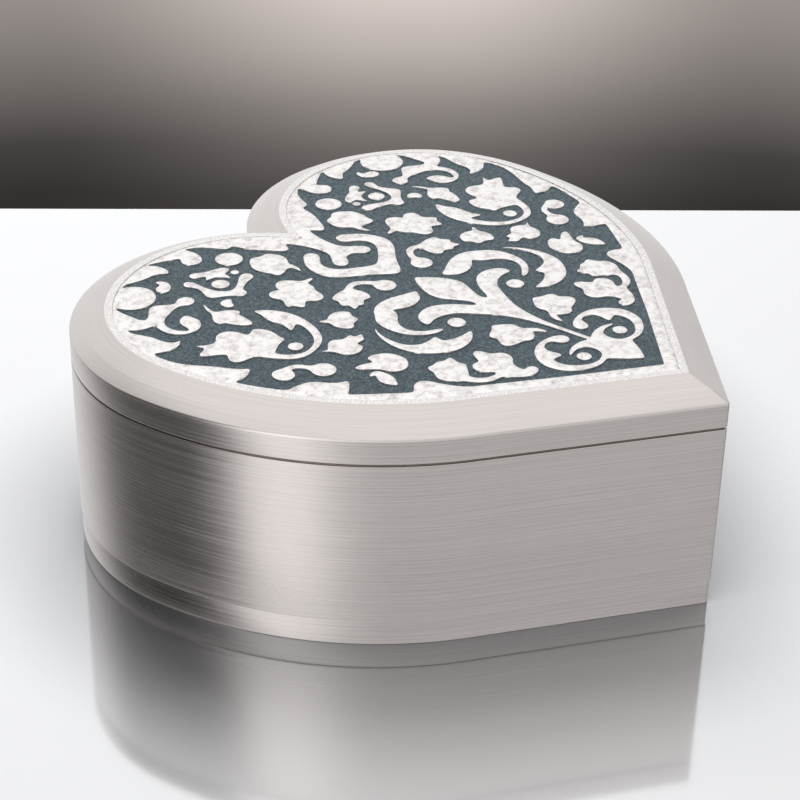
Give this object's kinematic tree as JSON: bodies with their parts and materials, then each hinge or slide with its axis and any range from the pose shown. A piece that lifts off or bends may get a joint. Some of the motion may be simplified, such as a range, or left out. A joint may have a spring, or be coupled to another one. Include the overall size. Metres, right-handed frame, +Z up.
{
  "type": "wind up music box",
  "caption": "Heart-shaped metal music box with a hinged enamelled lid, a keepsake tray, a pinned-cylinder movement with a lid-operated stop, and a winding key under the base.",
  "frame": {"origin": "middle of the footprint, on the table under the base rim", "axes": "+X across the two lobes, +Y from the point towards the notch, with the hinges behind the lobes, +Z up out of the lid"},
  "size_m": [0.104, 0.1028, 0.039],
  "materials": {
    "case_metal": "satin, brushed",
    "relief_metal": "bright, lightly aged",
    "enamel": "speckled slate enamel",
    "velvet": "flocked",
    "velvet_pad": "pile",
    "clear": "clear, polished",
    "screw_steel": "zinc plated",
    "bed_metal": "nickel plated",
    "tuned_steel": "ground and hardened",
    "brass": "lacquered",
    "shaft_steel": "polished",
    "spring_steel": "blued",
    "key_metal": "nickel plated",
    "nylon": "natural nylon",
    "black_plastic": "moulded"
  },
  "bodies": {
    "case": {"case_wall": "case_metal", "base_pan": "case_metal", "base_screws": "screw_steel", "hinge_case_leaf": "case_metal", "hinge_pin": "screw_steel", "tray": "velvet", "clear_cover": "clear", "bedplate": "bed_metal", "movement_screws": "screw_steel", "comb": "tuned_steel", "comb_base": "brass", "comb_screws": "screw_steel", "left_bracket": "bed_metal", "governor_frame": "bed_metal", "frame_screws": "screw_steel", "fly_bridge": "bed_metal", "housing_plate": "bed_metal", "spring_housing": "bed_metal", "housing_screws": "screw_steel", "mainspring": "spring_steel", "stop_bracket": "bed_metal"},
    "lid": {"lid_shell": "case_metal", "enamel": "enamel", "foliage": "relief_metal", "lid_pad": "velvet_pad", "hinge_lid_leaf": "case_metal"},
    "cylinder": {"pinned_cylinder": "brass", "cylinder_arbor": "shaft_steel", "cylinder_pinion": "brass", "cylinder_gear": "brass"},
    "great_wheel": {"great_wheel": "brass", "click_spring": "spring_steel"},
    "key": {"winding_arbor": "shaft_steel", "ratchet_wheel": "shaft_steel", "winding_key": "key_metal"},
    "governor": {"governor_shaft": "shaft_steel", "governor_pinion": "brass", "worm_wheel": "nylon"},
    "fly": {"worm": "shaft_steel", "fly": "black_plastic", "brake_disc": "brass"},
    "stop": {"stop_rod": "shaft_steel", "stop_collar": "brass", "stop_spring": "spring_steel"}
  },
  "joints": [
    {"name": "lid_hinge", "type": "hinge", "parent": "case", "child": "lid", "pos_m": [0, 0.05033, 0.0317], "axis": [-1, 0, 0], "range_deg": [0, 100]},
    {"name": "cylinder_spin", "type": "hinge", "parent": "case", "child": "cylinder", "pos_m": [0.0105, 0.01468, 0.01895], "axis": [1, 0, 0], "continuous": true},
    {"name": "great_wheel_spin", "type": "hinge", "parent": "case", "child": "great_wheel", "pos_m": [-0.0125, 0.01468, 0.0129], "axis": [0, 0, 1], "continuous": true},
    {"name": "governor_spin", "type": "hinge", "parent": "case", "child": "governor", "pos_m": [0.0239, 0.02335, 0.02048], "axis": [1, 0, 0], "continuous": true},
    {"name": "fly_spin", "type": "hinge", "parent": "case", "child": "fly", "pos_m": [0.0247, 0.02955, 0.02048], "axis": [0, 0, 1], "continuous": true},
    {"name": "key_wind", "type": "hinge", "parent": "great_wheel", "child": "key", "pos_m": [-0.0125, 0.01468, 0.004], "axis": [0, 0, 1], "range_deg": [0, 1080]},
    {"name": "stop_slide", "type": "slide", "parent": "case", "child": "stop", "axis": [0, 0, 1], "range_m": [0, 0.0012], "deforming": ["stop_spring"]}
  ],
  "couplings": [
    {"joint": "great_wheel_spin", "follows": "cylinder_spin", "ratio": 0.46667},
    {"joint": "governor_spin", "follows": "cylinder_spin", "ratio": -3.4},
    {"joint": "fly_spin", "follows": "cylinder_spin", "ratio": 81.6},
    {"joint": "stop_slide", "follows": "lid_hinge", "m_per_rad": 0.000687}
  ]
}
